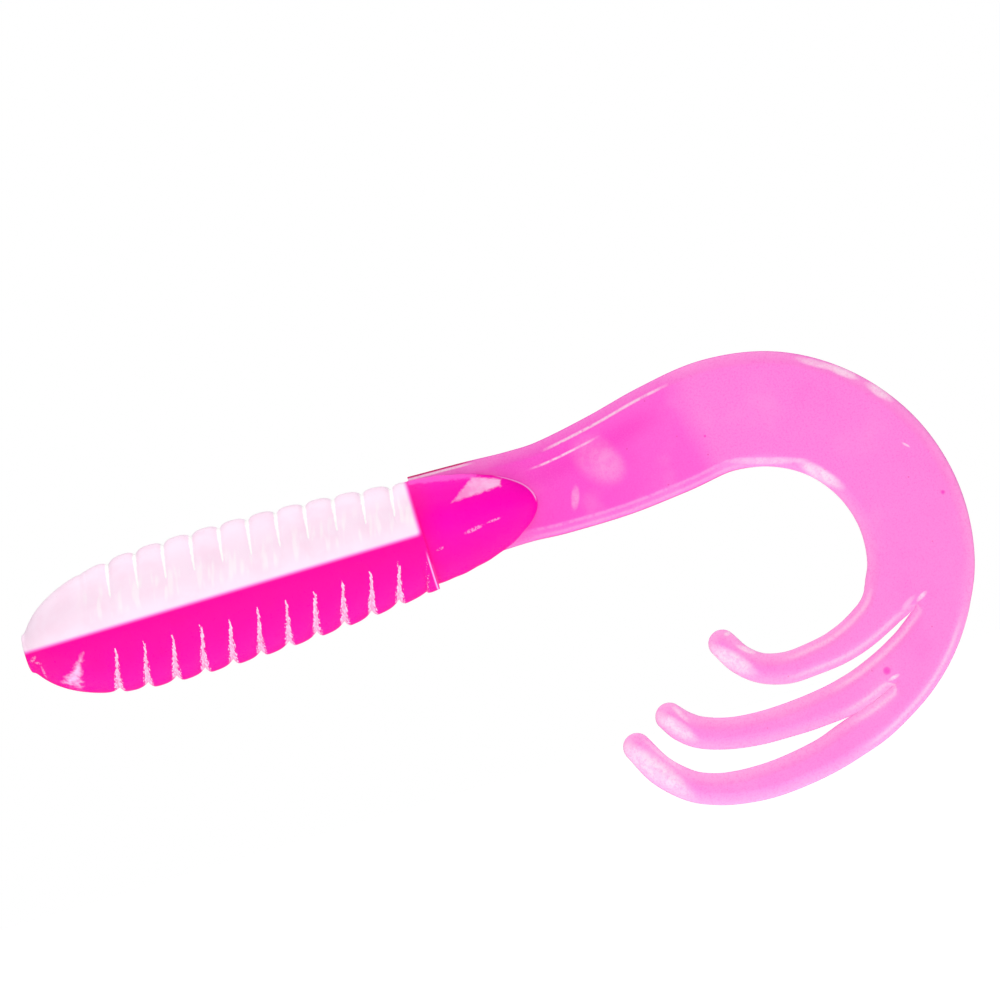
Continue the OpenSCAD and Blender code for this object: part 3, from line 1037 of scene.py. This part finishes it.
def tail_material():
    """Clear pink soft plastic: paler where it is thin, with specks, faint clouds and painted highlights."""
    s = Shade("clear_pink")
    rest = s.attribute("rest", "Vector")
    x, _, z = (
        s.node("ShaderNodeSeparateXYZ", {"Vector": rest}, out=k) for k in range(3)
    )
    edge, reach, outer = (s.attribute(a) for a in ("edge", "far", "outer"))
    base = s.colours(s.math("DIVIDE", reach, TAIL_LENGTH), TAIL_COLOURS)

    def window(start, end, ease=3.0):
        """1 between two distances along the tail, easing to 0 at both."""
        rise = s.ramp(reach, start, start + ease)
        return s.math("MULTIPLY", rise, s.ramp(reach, end - ease, end, 1.0, 0.0))

    def paint(base, tint, *shares):
        share = shares[0]
        for other in shares[1:]:
            share = s.math("MULTIPLY", share, other)
        return s.mix(base, tint, share)

    cloud = s.noise(rest, 0.16, 3.0, 0.5)
    grain = s.noise(rest, 6.0, 3.0, 0.6)
    base = s.mix(base, TAIL_PALE, s.ramp(cloud, 0.52, 0.8, 0.0, 0.12))
    base = s.mix(base, TAIL_DEEP, s.ramp(cloud, 0.46, 0.25, 0.0, 0.15))
    # Paler towards the edges: partly the thin plastic, partly light painted on the bevels, more on the
    # tentacles
    base = paint(base, TAIL_PALE, s.ramp(edge, 0.1, 1.6, 1.0, 0.0), s.ramp(reach, 70, 85, 0.18, 0.32))
    base = paint(base, TAIL_DEEP, s.ramp(edge, 0.14, 0.0, 0.0, 0.6), s.ramp(outer, 6.0, 1.0))

    # The strip over the bullet: a dark rim with a white line under it
    root = s.ramp(reach, 5.5, 7.5, 1.0, 0.0)
    base = paint(base, TAIL_PALE, root, s.band(outer, 0.32, 0.2))
    base = paint(base, ROOT_RIM, root, s.ramp(outer, 0.22, 0.1))

    # Beside the neck's outer edge: a deeper band between two thin painted glints, broken up by noise
    base = paint(base, TAIL_DEEP, s.band(outer, 3.4, 1.9), window(10, 30, 6.0), 0.5)
    glint_breaks = s.ramp(s.noise(rest, 1.3, 2.0), 0.35, 0.5, 0.35, 1.0)
    for place, half, start, end in ((1.1, 0.24, 14.0, 31.0), (2.45, 0.2, 12.0, 21.5)):
        base = paint(base, TAIL_PALE, s.band(outer, place, half), window(start, end), glint_breaks)
    # Along its inner edge: a thin dark rim and two painted highlight lines
    inner_side = s.math("MULTIPLY", window(9, 38, 5.0), s.ramp(outer, 6.0, 7.0))
    base = paint(base, TAIL_RIM, s.ramp(edge, 0.16, 0.0), inner_side, 0.8)
    base = paint(base, TAIL_PALE, s.band(edge, 0.4, 0.25), inner_side, 0.22)
    base = paint(base, TAIL_PALE, s.band(edge, 1.1, 0.3), inner_side, glint_breaks, 0.25)

    # Painted highlights along the edges of the fork, where the slits start
    base = paint(base, TAIL_PALE, s.band(edge, 0.7, 0.4), s.ramp(outer, 2.0, 2.4),
                 window(67.5, 84, 4.0), 0.5)

    # Pale scuffs, and highlights painted on the curl, broken up by noise
    torn = s.ramp(s.noise(rest, 1.3, 1.0, 0.5), 0.35, 0.6, 0.7, 1.0)
    scuffs_and_highlights = TAIL_SCUFFS + [((CURL[0] + a, CURL[1] + b), *look) for (a, b), *look in CURL_HIGHLIGHTS]
    for at, size, tilt, strength in scuffs_and_highlights:
        base = paint(base, TAIL_PALE, blob(s, x, z, at, size, tilt), torn, strength)
    for (a, b), r in CURL_SPECKS:
        speck = blob(s, x, z, (CURL[0] + a, CURL[1] + b), (r, r), 0)
        base = paint(base, TAIL_DEEP, speck, 0.8)
    base = s.mix(base, TAIL_DEEP, s.ramp(s.noise(rest, 4.0, 2.0, 0.8), 0.45, 0.7, 0.0, 0.25))
    specks = s.node(
        "ShaderNodeTexVoronoi", {"Vector": rest, "Scale": 0.4, "Randomness": 1.0}
    )
    base = s.mix(base, TAIL_RIM, s.ramp(specks, 0.05, 0.02, 0.0, 0.5))

    height = s.math("ADD", s.math("MULTIPLY", grain, 0.4), s.noise(rest, 1.1, 2.0))
    normal = s.bump(height, 0.05, 0.35)
    skin = s.node(
        "ShaderNodeBsdfPrincipled",
        {
            "Base Color": base,
            "Roughness": s.ramp(grain, 0.3, 0.7, 0.18, 0.32),
            "Normal": normal,
            "Specular IOR Level": 0.25,
            "Coat Weight": 0.4,
            "Coat Roughness": 0.06,
        },
    )
    through = s.node("ShaderNodeBsdfTranslucent", {"Color": base, "Normal": normal})
    clear = s.node("ShaderNodeBsdfTransparent", {"Color": (1.0, 0.62, 0.88, 1.0)})
    soft = s.node("ShaderNodeMixShader", {0: 0.3, 1: skin, 2: through})
    return s.surface(s.node("ShaderNodeMixShader", {0: 0.1, 1: soft, 2: clear}))


# ---- Pieces on their bodies ----

# The least and the most that a piece of the tail bends on either side of its hinge, and how
# far a piece of the body does
BEND = (1.9, 2.9)
GROOVE_BEND = 1.3


def finish_piece(piece, material, slot, *nodes):
    piece.data.materials.append(material)
    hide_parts(*nodes)


def bend_piece(piece, a, b, direction, reach):
    """Lets a piece bend across the hinge between two bodies."""
    at = hinge_place(a, b)
    ahead = np.array(direction, float) * reach
    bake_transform(piece, a, b, start=tuple((at - ahead) * MM), end=tuple((at + ahead) * MM))


def bend_room(piece, a, b, direction):
    """How far from its hinge a piece bends: up to its open rims, within BEND's two limits."""
    mesh = bmesh.new()
    mesh.from_mesh(piece.data)
    rims = np.array([tuple(v.co) for v in mesh.verts if v.is_boundary]) / MM
    mesh.free()
    off = (rims - hinge_place(a, b)) @ np.array(direction, float)
    return float(np.clip(np.abs(off).min(), *BEND))


def place_body():
    skins = body_skin()
    soft = {"back": ("pale_back", body_material("pale_back_plastic")),
            "belly": ("pink_belly", body_material("pink_belly_plastic"))}
    for half, (slot, material) in soft.items():
        nose = skins[f"nose_{half}_skin"]
        finish_piece(nose, material, slot, f"nose_{half}")
        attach(nose, "nose")
        for a, b in zip(BODY_CHAIN, BODY_CHAIN[1:]):
            name = b if b != "rear" else "collar"
            piece = skins[f"{name}_{half}_skin"]
            finish_piece(piece, material, slot, f"{name}_{half}")
            bend_piece(piece, a, b, (1, 0, 0), GROOVE_BEND)
    bullet = bullet_skin()
    finish_piece(bullet, soft["belly"][1], "pink_belly", "bullet")
    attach(bullet, "rear")


def place_tail():
    skins = tail_skin()
    material = tail_material()
    slot = "clear_pink_tail"
    root = skins["tail_root_skin"]
    finish_piece(root, material, slot, "tail_root")
    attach(root, "rear")
    for i, (a, b) in enumerate(zip(TAIL_CHAIN, TAIL_CHAIN[1:])):
        hx, hz = heading(BLADE_PATH, FIRST_HINGE + i)
        name = b if b != "fork" else "fork_neck"
        piece = skins[f"{name}_skin"]
        finish_piece(piece, material, slot, *([b] if b != "fork" else []))
        bend_piece(piece, a, b, (hx, 0, hz), bend_room(piece, a, b, (hx, 0, hz)))
    fork = skins["fork_skin"]
    finish_piece(fork, material, slot, "fork")
    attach(fork, "fork")
    for name, (path, knots, _, _) in FORKS.items():
        chain = ["fork"] + [f"{name}_tentacle_{i + 1}" for i in range(len(knots))]
        for knot, a, b in zip(knots, chain, chain[1:]):
            hx, hz = heading(path, knot)
            piece = skins[f"{b}_skin"]
            finish_piece(piece, material, slot, b)
            bend_piece(piece, a, b, (hx, 0, hz), bend_room(piece, a, b, (hx, 0, hz)))


place_body()
place_tail()

# ---- Floor and light ----

FLOOR_Z = -0.1
FLOOR_HALF = 1.5


def make_floor():
    mesh = bpy.data.meshes.new("floor")
    around = ((-1, -1), (1, -1), (1, 1), (-1, 1))
    corners = [(x * FLOOR_HALF, y * FLOOR_HALF, FLOOR_Z) for x, y in around]
    mesh.from_pydata(corners, [], [(0, 1, 2, 3)])
    floor = bpy.data.objects.new("floor", mesh)
    bpy.context.scene.collection.objects.link(floor)
    s = Shade("pale_floor")
    matt = s.node("ShaderNodeBsdfDiffuse", {"Color": (0.85, 0.85, 0.85, 1.0)})
    glow = s.node("ShaderNodeEmission", {"Strength": 0.7})
    mesh.materials.append(s.surface(s.node("ShaderNodeAddShader", {0: matt, 1: glow})))
    floor.visible_glossy = False


def make_world(seen, soft, mirrored):
    """White to the camera, and less bright to what it lights and to what mirrors it."""
    world = bpy.data.worlds.new("studio")
    bpy.context.scene.world = world
    world.use_nodes = True
    tree = world.node_tree
    tree.nodes.clear()
    path = tree.nodes.new("ShaderNodeLightPath")
    glossy = tree.nodes.new("ShaderNodeMix")
    glossy.inputs[2].default_value = soft
    glossy.inputs[3].default_value = mirrored
    tree.links.new(path.outputs["Is Glossy Ray"], glossy.inputs[0])
    camera = tree.nodes.new("ShaderNodeMix")
    camera.inputs[3].default_value = seen
    tree.links.new(glossy.outputs[0], camera.inputs[2])
    tree.links.new(path.outputs["Is Camera Ray"], camera.inputs[0])
    background = tree.nodes.new("ShaderNodeBackground")
    background.inputs["Color"].default_value = (1.0, 1.0, 1.0, 1.0)
    tree.links.new(camera.outputs[0], background.inputs["Strength"])
    output = tree.nodes.new("ShaderNodeOutputWorld")
    tree.links.new(background.outputs[0], output.inputs["Surface"])


def make_light(name, towards, distance, size, power, diffuse=True, glossy=True):
    """A square light that looks at the middle of the object from a direction."""
    data = bpy.data.lights.new(name, "AREA")
    data.shape = "RECTANGLE"
    data.size, data.size_y = size
    data.energy = power
    light = bpy.data.objects.new(name, data)
    bpy.context.scene.collection.objects.link(light)
    middle = (cad_box[0] + cad_box[1]) / 2
    direction = type(middle)(towards).normalized()
    light.location = middle + direction * distance
    light.rotation_euler = direction.to_track_quat("Z", "Y").to_euler()
    light.visible_camera = False
    light.visible_diffuse = diffuse
    light.visible_glossy = glossy


make_floor()
make_world(seen=1.0, soft=0.44, mirrored=0.04)
make_light("key", (-0.1, -0.55, 0.83), 0.6, (0.5, 0.5), 1.3, glossy=False)
make_light("front", (0.1, -1.0, 0.05), 0.7, (0.5, 0.5), 0.35, glossy=False)
make_light("rim", (0.0, 0.5, 0.87), 0.6, (0.5, 0.3), 2.4, glossy=False)
make_light("gloss_top", (0.0, -0.2, 0.98), 0.5, (0.5, 0.4), 0.35, diffuse=False)
make_light("gloss_left", (-0.75, -0.35, -0.55), 0.4, (0.12, 0.12), 0.04, diffuse=False)

bpy.context.scene.view_settings.view_transform = "Standard"
